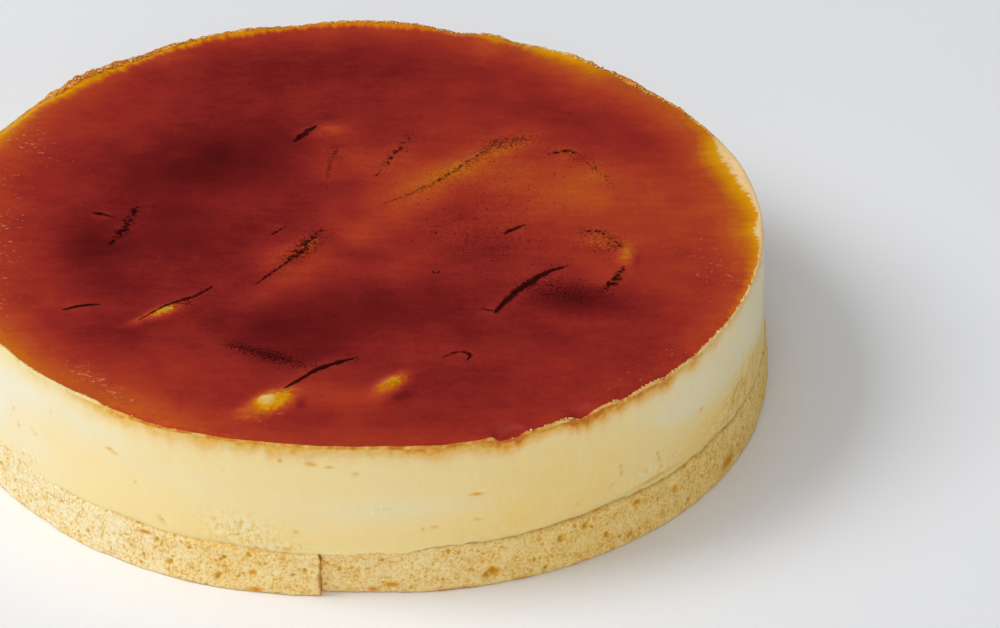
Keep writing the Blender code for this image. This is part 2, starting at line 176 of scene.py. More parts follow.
# Strokes of the knife: points, half width of the burnt line, how burnt, how grainy, height of the
# fold on its near side, width of the fold, all in mm
STROKES = (
    (((-14.8, -66.4), (-10.8, -62.4), (-7.6, -59.2), (-3.8, -56.5), (0.5, -53.7)), 0.75, 1, 0, 0.35, 6),
    (((-46, -38.7), (-40.1, -32.9), (-34.3, -29), (-30.7, -24.8)), 0.55, 0.9, 0.3, 0.3, 5),
    (((-21.2, -23.9), (-16, -17.3), (-13, -13)), 0.55, 0.85, 0.3, 0.25, 5),
    (((-14.5, -14.5), (-11.7, -10.7), (-9.9, -6.5), (-6.9, -1.4)), 1.6, 0.8, 0.9, 0.2, 6),
    (((6.9, 10), (13.6, 14.7), (19.1, 19.4), (24.1, 25.4), (29.3, 32.4), (32, 37.2)),
     0.75, 0.62, 0.45, 0.3, 6),
    (((-4.3, 33.6), (-5.3, 26), (-6.1, 15.6)), 0.7, 0.5, 0.5, 0.15, 4),
    (((-3.9, 34.2), (-4.6, 30)), 1.3, 0.6, 0.5, 0, 4),
    (((-13.2, 36.4), (-11, 39.5), (-8.6, 42.8)), 0.95, 0.95, 0.3, 0.2, 4),
    (((5, 21.6), (8.6, 29.8), (12.6, 38.9)), 0.9, 0.7, 0.7, 0.15, 5),
    (((-53.4, -7.2), (-50.9, -2.6), (-49.2, 3), (-47.5, 8.7)), 1.6, 0.78, 0.55, 0.15, 5),
    (((-48, 8.7), (-43.3, 8.7)), 0.6, 0.6, 0.4, 0, 3),
    (((-57.6, 6.2), (-55.2, 5.2), (-52.4, 4.2)), 0.65, 0.85, 0.3, 0.1, 3),
    (((-62.8, -34.4), (-58.5, -33), (-54.8, -32.3)), 0.5, 0.95, 0, 0.15, 3),
    (((27.6, -33.9), (29.4, -35), (31.4, -35)), 0.45, 0.75, 0.2, 0, 3),
    (((30.6, -35.6), (33.8, -29.8), (38.3, -24), (42.3, -19.4), (46.8, -16.3)), 1.1, 1, 0.25, 0.35, 6),
    (((50.5, -2), (53.8, -2.8), (56.5, -5.2), (58.2, -9)), 0.9, 0.75, 0.9, 0.3, 5),
    (((58.8, -17), (57.4, -21.5), (53.8, -27.2)), 1.1, 0.95, 0.5, 0.2, 5),
    (((33, -2.6), (37.6, 0.9)), 0.65, 0.95, 0.15, 0.1, 3),
    (((43.4, 31), (47.5, 32), (50.8, 30.2)), 0.95, 0.75, 0.5, 0.1, 4),
    (((50.8, 28.7), (54.7, 23.3), (56.6, 17.5)), 1.1, 0.5, 0.8, 0.1, 4),
    (((18.9, -53.9), (22.3, -51.9), (24.9, -53), (24, -55.5)), 0.65, 0.8, 0.25, 0.1, 3),
    (((-18.2, -3.4), (-14.8, 0.1)), 0.55, 0.7, 0.5, 0.1, 3),
)

# Where cream pokes up through the caramel: centre, half length, half width, direction, height in mm,
# how brown the caramel is there, how much of it is so
BUMPS = (
    (-17.2, -71.6, 6, 3.1, 46, 0.6, 0.13, 1), (-19, -71.9, 2.8, 1.8, 62, 0.2, 0, 1),
    (-22.5, -75.8, 4, 2.2, 40, 0.2, 0.34, 0.5), (7.6, -65, 5.2, 2.1, 53, 0.5, 0.13, 0.95),
    (-41, -35.2, 4, 1.5, 35, 0.3, 0.16, 0.8), (-46, -38.8, 4, 1.4, 35, 0.2, 0.36, 0.5),
    (33, 32.4, 3.6, 1.9, 40, 0.3, 0.27, 0.6), (37.5, 35.5, 5, 2.4, 40, 0.2, 0.34, 0.45),
    (26, 27.5, 6, 1.3, 50, 0.2, 0.38, 0.5), (-4.6, 41.8, 3.5, 2.4, 0, 0.3, 0.36, 0.5),
    (59.6, -12, 1.7, 4.2, -10, 0.4, 0.24, 0.7), (54, -7.3, 4.5, 2, -25, 0.3, 0.35, 0.5),
    (-9.6, -8, 3.2, 1.3, 58, 0.2, 0.26, 0.5), (-15, -10.5, 8, 3, 50, 0.2, 0.44, 0.5),
    (-1.5, -69, 9, 4, 8, 0.5, 0.52, 0.3),
)

# Mottled scorch marks: centre, half length, half width, direction, amount
SCORCHES = (
    (-17.5, -53.3, 9.5, 2.4, -27, 1), (-25.5, -49, 4, 2, -30, 0.5), (47, -28.5, 8, 4, -20, 0.6),
    (-36, -32, 2.4, 1.8, 30, 0.6), (35, 38.5, 4.5, 1.8, 10, 0.4), (34, 9, 3, 1.5, 0, 0.4),
    (45.5, 31.5, 3, 1.3, 0, 0.5), (12.5, 40, 3.5, 2, 40, 0.4), (23.5, -2.5, 2.5, 1.2, 0, 0.35),
    (28, -17, 3, 1.5, 10, 0.35), (-31.9, -28.5, 2.2, 1.3, 0, 0.3), (-27.8, 2.8, 2.8, 1.3, 0, 0.24),
    (-25.7, 11.3, 2.2, 1.6, 0, 0.24),
)

# Clusters of burnt specks: centre, half length, half width, direction, amount
BURNT_SPECKS = (
    (-17, -53, 12, 4, -27, 0.9), (47, -28, 12, 7, -10, 0.9), (28, -8, 18, 18, 0, 0.5),
    (54, -9, 6, 5, -20, 0.6), (28, 24, 28, 20, 0, 0.38), (-10, -8, 6, 3, 58, 0.8),
    (-38, -32.5, 5, 2.5, 40, 0.8), (35, 36, 7, 3, 30, 0.8), (-30, 28, 22, 12, 20, 0.2),
    (8.5, -65, 3, 2, 50, 0.6),
)

# Where painted glints lie in the caramel, pale specks that stand for highlights on tiny bumps: centre, half
# length, half width, direction, amount
PAINTED_GLINT_SPOTS = (
    (-78, -10, 7, 40, 0, 0.7), (-72, 38, 6, 16, 40, 0.6), (-54, -64, 15, 3.2, -47, 1),
    (79, -20, 6, 20, 25, 0.55), (-20, -77, 8, 3, 0, 0.6), (62, -58, 18, 3.5, 45, 0.5),
)

# Small bubbles in the caramel: centre and radius in mm
BUBBLES = ((17.6, -2, 0.65), (17.9, -19, 0.75), (0.5, -54.5, 0.5), (-4, -36, 0.35))

# Marks on the cream's side: angle, height, half length, half thickness, tilt, depth in mm, tint
MARKS = (
    (-34.7, 25.7, 1.3, 0.3, -12, 0.35, 0.9), (-49.1, 20.7, 1.3, 0.28, -25, 0.3, 0.4),
    (-53.8, 23.1, 0.4, 0.35, 0, 0.25, 0.7), (-52.6, 19.9, 0.4, 0.5, 30, 0.25, 0.6),
    (-26.8, 12.6, 1.1, 0.35, -40, 0.45, 0.6), (-30.9, 20, 0.3, 0.35, 0, 0.2, 0.5),
    (-25.7, 27.7, 0.8, 0.2, 0, 0.15, 0.3), (-17.8, 28.4, 0.3, 0.25, 0, 0.15, 0.4),
    (-5.8, 32.3, 1.2, 0.3, -5, 0.3, 1), (-3.3, 31.8, 0.9, 0.25, 0, 0.25, 0.8),
    (-9.9, 32.6, 0.4, 0.35, 0, 0.25, 1), (-8, 35.2, 0.5, 0.35, 0, 0.25, 1), (0.3, 30, 0.7, 0.3, 0, 0.2, 0.8),
    (16.9, 22.8, 1.6, 0.2, 0, 0.3, 0.9), (16.9, 16.5, 1, 0.2, 0, 0.2, 0.5),
    (10.9, 16, 0.8, 0.2, 0, 0.2, 0.5), (9.3, 15.8, 0.3, 0.25, 0, 0.2, 0.5),
    (-7.8, 15.3, 0.8, 0.3, -25, 0.3, 0.5), (31.9, 14, 0.5, 0.25, 0, 0.2, 0.6),
    (39.2, 19.1, 0.3, 0.35, 0, 0.35, 0.8), (39.3, 17.3, 0.4, 0.6, 20, 0.35, 0.7),
    (37.6, 15.3, 0.7, 0.3, 10, 0.3, 0.7), (46.2, 17.5, 0.4, 0.4, 0, 0.35, 0.8),
    (46.5, 15.9, 0.35, 0.5, 0, 0.3, 0.7), (46.8, 13.6, 0.6, 0.25, 10, 0.3, 0.6),
    (56.1, 20.9, 0.45, 0.35, 30, 0.3, 0.9), (63.6, 12.4, 0.35, 1.1, -30, 0.3, 0.7),
    (65.8, 15.6, 0.45, 1.7, -30, 0.4, 1), (67.3, 13.6, 0.35, 1.3, -30, 0.35, 0.8),
    (69, 17.6, 0.35, 1.6, -28, 0.35, 0.8), (70.6, 14.6, 0.4, 1.8, -28, 0.4, 0.9),
    (72.4, 19, 0.35, 1.6, -28, 0.3, 0.7), (74.2, 15.4, 0.4, 2, -26, 0.35, 0.8),
    (77, 18.5, 0.45, 1.9, -26, 0.3, 0.6), (80.5, 14.6, 0.5, 1.8, -26, 0.35, 0.7),
    (-45.7, 28.5, 0.25, 0.6, -20, 0.15, 0.3), (45.5, 11.9, 6, 0.35, 0, 0.3, 0.7),
)

# Paler, firmer skin on the cream's side: angle, height, half length, half height in mm, tilt, amount
PALE_PATCHES = (
    (5, 21.2, 16, 2.2, 0, 0.45), (-42, 30, 16, 4.5, 0, 0.8), (-62, 26, 20, 8, 0, 1),
    (-52, 16, 14, 6, 0, 0.4), (-28, 24, 16, 4, 0, 0.2), (-100, 26, 40, 6, 0, 0.6), (-150, 24, 18, 4, 0, 0.5),
    (140, 22, 16, 4, 0, 0.5),
)

# Lower edge of the firm skin on the right: angle, height in mm, strength
SKIN_EDGE = (
    (-180, 24, 0), (38, 27, 0), (44, 25, 0.3), (48, 21.6, 0.5), (55, 19.8, 0.52), (64, 19.8, 0.42),
    (71, 21, 0.62), (80, 18, 0.65), (100, 17, 0.65), (125, 22, 0),
)

# Yellower, wetter stretches of the cream's side, in the same form
DEEP_PATCHES = (
    (30, 20, 26, 14, 0, 0.6), (22, 14, 20, 4, 0, 0.3), (58, 14, 18, 5, 0, 0.85), (78, 13, 16, 6, 0, 1),
    (66, 13, 12, 5, 0, 0.4), (-10, 13, 30, 3, 0, 0.35), (-30, 22, 10, 3, 0, 0.1), (120, 14, 24, 4, 0, 0.5),
)

# Where the cream's side is bubbly, in the same form
BUBBLY = (
    (-15.5, 14, 7, 3.8, 0, 1), (-51, 13.6, 5, 1.6, 0, 0.8), (-10, 11.2, 5.5, 1.2, 0, 0.9),
    (150, 15, 7, 3, 0, 0.5), (3, 21, 5.5, 1, 0, 0.4), (16, 10.8, 3, 1, 0, 0.6), (46, 14, 8, 3, 0, 0.45),
    (64, 14, 10, 5, 0, 0.55), (80, 14, 12, 6, 0, 0.5),
)

# Where it was dragged into streaks, in the same form
DRAGGED = (
    (67, 15.5, 7, 4, 12, 1), (60, 9.8, 6, 2, 5, 0.8), (76, 17, 9, 5, 12, 0.8), (112, 14, 16, 5, 0, 0.6),
)

# The stretches that are peach instead of brown, of the rim and of the side under it: middle and half
# width in degrees
PEACH_RIM = (100.5, 11.5)
PEACH_SIDE = (74, 24)

# Stretches of toasted cream under the rim: angle, strength, how far down it fades in mm
TOAST = (
    (-180, 0.8, 2.2), (-130, 0.9, 2.6), (-90, 0.4, 2), (-58, 0.22, 1.8), (-46, 0.34, 2.4), (-34, 0.62, 2.6),
    (-20, 0.68, 3.2), (-8, 0.66, 3.2), (6, 0.75, 3), (18, 0.95, 2.8), (28, 1.15, 2.8), (42, 1.25, 2.8),
    (52, 1.05, 2.4), (62, 0.55, 2), (76, 0.45, 1.8), (95, 0.45, 1.4), (115, 0.45, 1.4), (130, 0.8, 2.2),
)

# Browned spots on the sponge: angle, height, half length, half height in mm
BROWN_SPOTS = (
    (5.2, 2.1, 1.5, 0.55), (-13, 0.8, 1.4, 0.6), (2.6, 1, 1, 0.6), (-29, 9.2, 1.5, 0.5), (62, 3, 3, 1.2),
)

# Round the base: angle, how much deeper in colour the sponge is
DEEPER = (
    (-180, 0.5), (-60, 0), (-34, 0.05), (-16, 0.75), (6, 0.6), (24, 0.95), (90, 1), (180, 0.5),
)

# Large pores of the sponge: angle, height, half length, half height in mm
LARGE_PORES = (
    (19, 3.4, 1.5, 0.9), (28.8, 7.4, 0.9, 1), (32.6, 8.7, 0.7, 0.9), (-13.5, 4.6, 1.2, 1),
    (-17.5, 7.6, 0.6, 0.6), (41.5, 9.3, 1.3, 0.6), (49, 7, 1.2, 1.3), (-6.5, 6.4, 0.5, 0.6),
    (36, 4.5, 0.6, 0.6),
)


def srgb(red, green, blue):
    """A colour given as it is seen on a screen, 0 to 255, as a shader's linear value."""
    values = (red / 255, green / 255, blue / 255)
    linear = [v / 12.92 if v <= 0.04045 else ((v + 0.055) / 1.055) ** 2.4 for v in values]
    return (*linear, 1)


# Arrays of numbers: easing, tables round the cake, and repeatable noise


def ease(t):
    """0 to 1 with a soft start and a soft end."""
    t = np.clip(t, 0, 1)
    return t * t * (3 - 2 * t)


def around(table, angle, column=1):
    """A table's column at these angles, eased between its rows and joined at the back."""
    rows = np.array([*table, (table[0][0] + 360, *table[0][1:])])
    place = np.clip(np.searchsorted(rows[:, 0], angle, side="right") - 1, 0, len(rows) - 2)
    start, end = rows[place], rows[place + 1]
    share = ease((angle - start[:, 0]) / (end[:, 0] - start[:, 0]))
    return start[:, column] + (end[:, column] - start[:, column]) * share


def lattice(cell, seed):
    """A repeatable random number from 0 to 1 for each whole-number cell."""
    value = (cell[:, 0] * 374761393 + cell[:, 1] * 668265263 + cell[:, 2] * 1440662683 + seed * 974634777)
    value = value & 0xFFFFFFFF
    value = ((value ^ (value >> 13)) * 1274126177) & 0xFFFFFFFF
    return ((value ^ (value >> 16)) & 0xFFFFFF) / 0xFFFFFF


def noise(points, spacing, seed=0):
    """Smooth noise from -1 to 1 at each point, with bumps about this far apart in mm."""
    scaled = points / (spacing * MM)
    cell = np.floor(scaled).astype(np.int64)
    part = ease(scaled - cell)
    total = np.zeros(len(points))
    for corner in itertools.product((0, 1), repeat=3):
        weight = np.prod(np.where(corner, part, 1 - part), axis=1)
        total += weight * lattice(cell + np.array(corner), seed)
    return 2 * total - 1


def rough(points, spacing, seed=0, octaves=3):
    """Noise with finer and finer bumps on it."""
    total = np.zeros(len(points))
    for octave in range(octaves):
        total += noise(points, spacing / 2.1**octave, seed + octave) / 2**octave
    return total


def pits(points, spacing, seed, share, smallest, largest):
    """How deep each point lies in scattered round pits, with sizes in mm: 0 outside, 1 at a pit's middle."""
    points = points / MM
    cell = np.floor(points / spacing).astype(np.int64)
    deepest = np.zeros(len(points))
    for step in itertools.product((-1, 0, 1), repeat=3):
        near = cell + np.array(step)
        offset = np.stack([lattice(near, seed + axis) for axis in range(3)], axis=1)
        radius = smallest + (largest - smallest) * lattice(near, seed + 3) ** 2
        there = lattice(near, seed + 4) < share
        away = np.linalg.norm(points - (near + offset) * spacing, axis=1) / radius
        deepest = np.maximum(deepest, np.where(there, np.clip(1 - away**2, 0, 1), 0))
    return deepest


def patch(x, y, centre_x, centre_y, half_length, half_width, direction):
    """1 at the middle of a soft oval, fading to 0 outside it."""
    turn = math.radians(direction)
    along = (x - centre_x) * math.cos(turn) + (y - centre_y) * math.sin(turn)
    across = (y - centre_y) * math.cos(turn) - (x - centre_x) * math.sin(turn)
    return np.exp(-((along / half_length) ** 2) - (across / half_width) ** 2)


def side_patch(angle, height, centre_angle, centre_height, half_length, half_height, tilt=0):
    """The same on the cake's side, with lengths in mm measured round the cake."""
    across = np.radians((angle - centre_angle + 180) % 360 - 180) * CREAM_TOP_RADIUS / MM
    return patch(across, height / MM, 0, centre_height, half_length, half_height, tilt)


def patches(x, y, table):
    """The sum of a table's soft ovals, each times its amount."""
    return sum(amount * patch(x, y, *oval) for *oval, amount in table)


def side_patches(angle, height, table):
    """The same on the cake's side."""
    return sum(amount * side_patch(angle, height, *oval) for *oval, amount in table)


def along_line(x, y, line):
    """Distance to a line of straight runs, which side of it, and how far along it the nearest point is."""
    best = np.full(len(x), np.inf)
    side = np.ones(len(x))
    share_along = np.zeros(len(x))
    lengths = [math.dist(a, b) for a, b in zip(line, line[1:])]
    travelled = 0
    for (ax, ay), (bx, by), length in zip(line, line[1:], lengths):
        run_x, run_y = (bx - ax) / length, (by - ay) / length
        along = np.clip((x - ax) * run_x + (y - ay) * run_y, 0, length)
        away = np.hypot(x - ax - along * run_x, y - ay - along * run_y)
        nearer = away < best
        best = np.where(nearer, away, best)
        side = np.where(nearer, np.sign((x - ax) * run_y - (y - ay) * run_x), side)
        share_along = np.where(nearer, (travelled + along) / sum(lengths), share_along)
        travelled += length
    return best, side, share_along


def smooth_line(line, steps=6):
    """Points on a smooth curve through a line's own points."""
    points = [Vector((*p, 0)) for p in (line[0], *line, line[-1])]
    curve = []
    for before, start, end, after in zip(points, points[1:], points[2:], points[3:]):
        for i in range(steps):
            t = i / steps
            bend = (end - before) * t + (before * 2 - start * 5 + end * 4 - after) * t * t
            bend += (start * 3 - before - end * 3 + after) * t**3
            point = start + bend * 0.5
            curve.append((point.x, point.y))
    return curve + [tuple(line[-1])]


# Shapes


def at(radius, angle):
    """The x and y of points at these radii and angles."""
    turn = np.radians(angle)
    return radius * np.sin(turn), -radius * np.cos(turn)


def place_at(radius, angle, height):
    """Points at these radii, angles and heights."""
    x, y = at(radius, angle)
    return np.stack([x, y, height + 0 * x], axis=1)


def on_ring(angle):
    """Points on the cream's top edge, for noise that depends on the angle alone."""
    return place_at(CREAM_TOP_RADIUS, angle, 0)


def interface(radius, angle):
    """Height at which the sponge ends and the cream begins: level inside, wavy and ragged at the side."""
    ragged = 0.38 * MM * rough(on_ring(angle), 3.4, 3)
    edge_height = around(SPONGE_TOP, angle) * MM + ragged
    return SPONGE_HEIGHT + (edge_height - SPONGE_HEIGHT) * (radius / SPONGE_RADIUS) ** 2


def rim_width(angle):
    """Width of the bare rim, with the ragged line that the caramel leaves at its own border points."""
    border = np.linspace(-180, 180, 4 * GLAZE_CELLS + 1)
    width = around(RIM, np.minimum(border, 179.999)) * MM
    width = width * (1 + 0.26 * rough(on_ring(border), 2.4, 5))
    width += 0.1 * MM * noise(on_ring(border), 1.3, 7)
    return np.interp(angle, border, np.maximum(width, 0.25 * MM))


def rim_fall(angle):
    """How far in mm a wide rim slopes down towards the caramel."""
    return 0.24 * np.maximum(around(RIM, angle) - 1, 0)


def grid_faces(rows, columns, ring):
    """The four-sided faces of a grid of points, joined round when it is a ring."""
    row, column = np.meshgrid(np.arange(rows - 1), np.arange(columns if ring else columns - 1), indexing="ij")
    row, column = row.ravel(), column.ravel()
    after = (column + 1) % columns
    here = row * columns
    return np.stack([here + column, here + columns + column, here + columns + after, here + after], axis=1)


def make_mesh(name, points, faces, measures):
    """A smooth, closed mesh object with a number on every point for each named measure."""
    mesh = bpy.data.meshes.new(name)
    mesh.from_pydata(points.tolist(), [], faces)
    for key, values in measures.items():
        mesh.attributes.new(key, "FLOAT", "POINT").data.foreach_set("value", values.astype(np.float32))
    outwards = bmesh.new()
    outwards.from_mesh(mesh)
    bmesh.ops.recalc_face_normals(outwards, faces=outwards.faces[:])
    outwards.to_mesh(mesh)
    outwards.free()
    mesh.shade_smooth()
    mesh.set_sharp_from_angle(angle=SHARP_ANGLE)
    return show(name, mesh)


def show(name, data):
    """An object with this mesh, camera or light, placed in the scene."""
    piece = bpy.data.objects.new(name, data)
    bpy.context.scene.collection.objects.link(piece)
    return piece


def fan(first, count, centre):
    """Triangles that close a ring of points to a centre point."""
    return [(centre, first + i, first + (i + 1) % count) for i in range(count)]


def make_cream():
    """The layer of cream: dented side, ragged lip, rim, and the recess that holds the caramel."""
    angle = np.linspace(-180, 180, CREAM_COLUMNS, endpoint=False)
    underside = [place_at(radius, angle, interface(radius, angle) + LAYER_GAP) for radius in UNDERSIDE_RINGS]
    recess = place_at(CREAM_TOP_RADIUS - rim_width(angle), angle, GLAZE_FLOOR)
    rings = [(ring, {}) for ring in underside] + side_rings(angle) + rim_rings(angle) + [(recess, {})]
    centres = [[0, 0, SPONGE_HEIGHT + LAYER_GAP], [0, 0, GLAZE_FLOOR]]
    points = np.concatenate([ring for ring, _ in rings] + [centres])
    last = (len(rings) - 1) * CREAM_COLUMNS
    faces = grid_faces(len(rings), CREAM_COLUMNS, ring=True).tolist()
    faces += fan(0, CREAM_COLUMNS, last + CREAM_COLUMNS)
    faces += fan(last, CREAM_COLUMNS, last + CREAM_COLUMNS + 1)
    measures = {}
    for key in CREAM_MEASURES:
        values = [given.get(key, np.zeros(CREAM_COLUMNS)) for _, given in rings]
        measures[key] = np.concatenate([*values, [0, 0]])
    return make_mesh("cream_layer", points, faces, measures)


def side_rings(angle):
    """Rings up the side of the cream, with their measures."""
    rings = []
    rim = CAKE_HEIGHT + around(RIM, angle, 2) * MM
    top = rim - LIP_ROUNDING
    for share in np.concatenate([np.linspace(0, 0.8, 31, endpoint=False), np.linspace(0.8, 1, 13)]):
        radius = CREAM_FOOT_RADIUS + (CREAM_TOP_RADIUS - CREAM_FOOT_RADIUS) * share
        foot = interface(radius, angle) + LAYER_GAP
        height = foot + (top - foot) * share
        side = cream_side(place_at(radius, angle, height), angle, height, rim - height)
        rings.append((place_at(radius + side["out"], angle, height), side))
    return rings


def rim_rings(angle):
    """Rings across the rim and down its inner side, with their measures."""
    rings = []
    width = rim_width(angle)
    lip, crag = around(RIM, angle, 2) * MM, around(RIM, angle, 3) * MM
    peach = np.maximum(within(angle, *PEACH_RIM), 0.4 * within(angle, *PEACH_SIDE))
    for inward, drop, craggy in RIM_ROWS:
        radius = CREAM_TOP_RADIUS - width * inward
        place = place_at(radius, angle, CAKE_HEIGHT)
        relief = 0.6 * rough(place, 2.6, 11) + 0.7 * rough(place, 0.95, 13, octaves=2)
        height = CAKE_HEIGHT + lip - (drop + inward * rim_fall(angle)) * MM + craggy * crag * relief
        radius = radius + 0.5 * craggy * crag * rough(place, 1.1, 17)
        ring = place_at(radius, angle, np.maximum(height, GLAZE_FLOOR + LAYER_GAP))
        rings.append((ring, {"toast": rim_toast(place, angle), "peach": peach}))
    return rings


def cream_side(place, angle, height, below):
    """Relief and colour measures of the cream's side, this far below the rim."""
    below = np.maximum(below, 0)
    out = 0.14 * MM * noise(place, 12, 21) + 0.05 * MM * rough(place, 3, 23)
    out += 0.025 * MM * noise(place, 0.9, 27)
    mark = np.zeros(len(angle))
    for mark_angle, mark_height, half_length, half_thickness, tilt, depth, tint in MARKS:
        spot = side_patch(angle, height, mark_angle, mark_height, half_length, half_thickness, tilt)
        out -= depth * MM * spot
        mark = np.maximum(mark, tint * spot)
    bubbly = np.minimum(side_patches(angle, height, BUBBLY), 1)
    lumps = pits(place, 1.1, 31, 0.7, 0.35, 0.75)
    hollows = pits(place, 1.6, 37, 0.6, 0.4, 0.9)
    out += bubbly * MM * (0.3 * lumps - 0.35 * hollows)
    rare = pits(place, 5.2, 41, 0.22, 0.2, 0.5)
    out -= 0.2 * MM * rare
    mark = np.maximum(mark, 0.35 * rare)
    dragged = np.minimum(side_patches(angle, height, DRAGGED), 1)

    blotch = 1 + 0.35 * rough(place, 7, 51)
    pale = side_patches(angle, height, PALE_PATCHES) * blotch
    deep = side_patches(angle, height, DEEP_PATCHES) * blotch
    above = height / MM - around(SKIN_EDGE, angle) + 0.5 * rough(place, 3.4, 53)
    pale += around(SKIN_EDGE, angle, 2) * ease(above / 2.4)
    firm = around(SKIN_EDGE, angle, 2) * ease(above)
    bubbly = bubbly * (1 - 0.9 * firm)
    dragged = dragged * (1 - firm)
    return {
        "out": out,
        "toast": side_toast(place, angle, below),
        "pale": np.clip(pale, 0, 1),
        "deep": np.clip(deep, 0, 1),
        "mark": mark,
        "bubbly": bubbly,
        "dragged": dragged,
        "peach": 0.7 * within(angle, *PEACH_SIDE) * np.exp(-((below / (1.9 * MM)) ** 1.5)),
    }


def within(angle, middle, half_width):
    """1 within a stretch of the cake's round, fading to 0 at its ends."""
    return np.exp(-(((angle - middle) / half_width) ** 4))


def side_toast(place, angle, below):
    """How browned the side is under the rim."""
    strength = around(TOAST, angle) * (1 + 0.38 * noise(place * np.array([1, 1, 0.15]), 4, 61))
    reach = around(TOAST, angle, 2) * MM * (1 + 0.4 * noise(place * np.array([1, 1, 0.1]), 2.2, 67))
    toast = strength * np.exp(-((below / reach) ** 1.3))
    return np.clip(toast * (1 + 0.25 * rough(place, 1.6, 71)), 0, 1.3)


def rim_toast(place, angle):
    """How browned the rim is."""
    return np.clip(around(RIM, angle, 4) * (1 + 0.45 * rough(place, 1.6, 73)), 0, 1.3)


def make_sponge(name, is_right):
    """One piece of sponge: open crumb on its side, a rounded lower edge, a cut face at the seam."""
    side_x = 1 if is_right else -1
    angle, inward, share = sponge_grid(is_right)
    radius = sponge_outline(angle, share, is_right) - inward
    height = interface(radius, angle) * share
    place = place_at(radius, angle, height)
    crumb = sponge_crumb(place, angle)
    seam = seam_line(height) + side_x * SEAM_GAP / 2
    from_seam = np.abs(place[:, 0] - seam)
    rounding = 0.35 * MM * np.exp(-((from_seam / (0.25 * MM)) ** 2))
    shown = ease((2.8 * MM - inward) / (1.2 * MM)) * np.where(share > 0, 1, 0.4)
    shown *= 1 - 0.65 * ease((share - 0.92) / 0.05)
    radius = radius + shown * (crumb["out"] - rounding)
    height = height - np.where((share >= 0.97) & (inward > 0), 0.15 * MM * crumb["pit"] * shown, 0)
    x, y = at(radius, angle)
    x = np.maximum(x, seam) if is_right else np.minimum(x, seam)
    points, faces = close_at_seam(np.stack([x, y, height], axis=1), side_x)
    measures = sponge_measures(place, angle, height, share, from_seam, crumb["pit"])
    inner = np.full(SPONGE_COLUMNS, 0.2)
    measures = {key: np.concatenate([inner, values, inner]) for key, values in measures.items()}
    piece = make_mesh(name, points, faces, measures)
    weld(piece)
    return piece


def sponge_grid(is_right):
    """Angle, distance in from the side and share of the height, for each point of a piece of sponge."""
    # The columns reach past the seam and are held at it
    start, end = (SEAM_FRONT[0], SEAM_BACK[1]) if is_right else (SEAM_FRONT[1], SEAM_BACK[0])
    angle = (np.linspace(start, end, SPONGE_COLUMNS) + 180) % 360 - 180
    # From the hidden top down the side and under: inward from the side in mm, share of the height
    rows = [(22, 1), (8, 1), (2.6, 1), (1.6, 1), (1, 1), (0.6, 1), (0.25, 0.995), (0.06, 0.97)]
    rows += [(0, share) for share in np.linspace(0.945, 0.055, 48)]
    rows += [(0.08, 0.03), (0.3, 0.006), (0.7, 0), (3, 0), (10, 0), (22, 0)]
    inward, share = np.repeat(rows, SPONGE_COLUMNS, axis=0).T
    return np.tile(angle, len(rows)), inward * MM, share


def sponge_outline(angle, share, is_right):
    """Radius of the sponge's side, which flares towards its foot."""
    own_side = np.maximum(angle, SEAM_FRONT[1]) if is_right else np.minimum(angle, SEAM_FRONT[0])
    own_angle = np.where(np.abs(angle) < 90, own_side, angle)
    flare = 0.6 + 0.4 * ease(1 - share)
    side = SPONGE_SHOULDER + (SPONGE_RADIUS - SPONGE_SHOULDER) * ease(1 - share)
    return side + flare * around(SPONGE_OUTLINE, own_angle) * MM


def close_at_seam(points, side_x):
    """Adds the cut face and the inner strips of the top and underside, which lie on the seam."""
    ends = np.stack([points[:SPONGE_COLUMNS], points[-SPONGE_COLUMNS:]])
    ends[:, :, 0] = SEAM_X + side_x * SEAM_WAVE
    rows = len(points) // SPONGE_COLUMNS + 2
    faces = grid_faces(rows, SPONGE_COLUMNS, ring=False).tolist()
    low = (rows - 1) * SPONGE_COLUMNS
    faces += [(i, i + 1, low + i + 1, low + i) for i in range(SPONGE_COLUMNS - 1)]
    return np.concatenate([ends[0], points, ends[1]]), faces


def sponge_measures(place, angle, height, share, from_seam, pit):
    """What the sponge's colour depends on: its pores, its browned skin, painted shade at the seam and how
    deep in colour it is.
    """
    # Painted shade along the seam: the dark pore colour and the brown skin colour are laid along the joint
    # between the two pieces
    seam_shade = np.exp(-((from_seam / (0.3 * MM)) ** 2))
    low = ease((1.3 * MM - height) / (1.3 * MM))
    upper = 0.6 * ease((share - 0.94) / 0.06)
    skin = low * np.clip(0.1 + 0.8 * rough(place, 4, 81), 0, 1)
    skin = np.maximum(skin, upper * np.clip(rough(place, 3, 83), 0, 1))
    for spot in BROWN_SPOTS:
        skin = np.maximum(skin, 1.5 * side_patch(angle, height, *spot))
    skin = np.maximum(skin, 0.8 * seam_shade * ease(1.2 - height / (9 * MM)))
    deep = np.interp(angle, [row[0] for row in DEEPER], [row[1] for row in DEEPER])
    return {"pit": np.maximum(pit, 0.75 * seam_shade), "skin": skin, "deep": deep}


def seam_line(height):
    """The wavering x at which the two pieces of sponge meet."""
    upright = np.stack([np.zeros(len(height)), np.zeros(len(height)), height], axis=1)
    return SEAM_X + SEAM_WAVE * rough(upright, 2.6, 87)


def weld(piece):
    """Joins points that coincide and closes what is left open at the ends of the seam."""
    mesh = bmesh.new()
    mesh.from_mesh(piece.data)
    bmesh.ops.remove_doubles(mesh, verts=mesh.verts[:], dist=WELD_DISTANCE)
    border = [edge for edge in mesh.edges if len(edge.link_faces) == 1]
    if border:
        bmesh.ops.holes_fill(mesh, edges=border, sides=0)
    bmesh.ops.recalc_face_normals(mesh, faces=mesh.faces[:])
    mesh.to_mesh(piece.data)
    mesh.free()
    piece.data.set_sharp_from_angle(angle=SHARP_ANGLE)


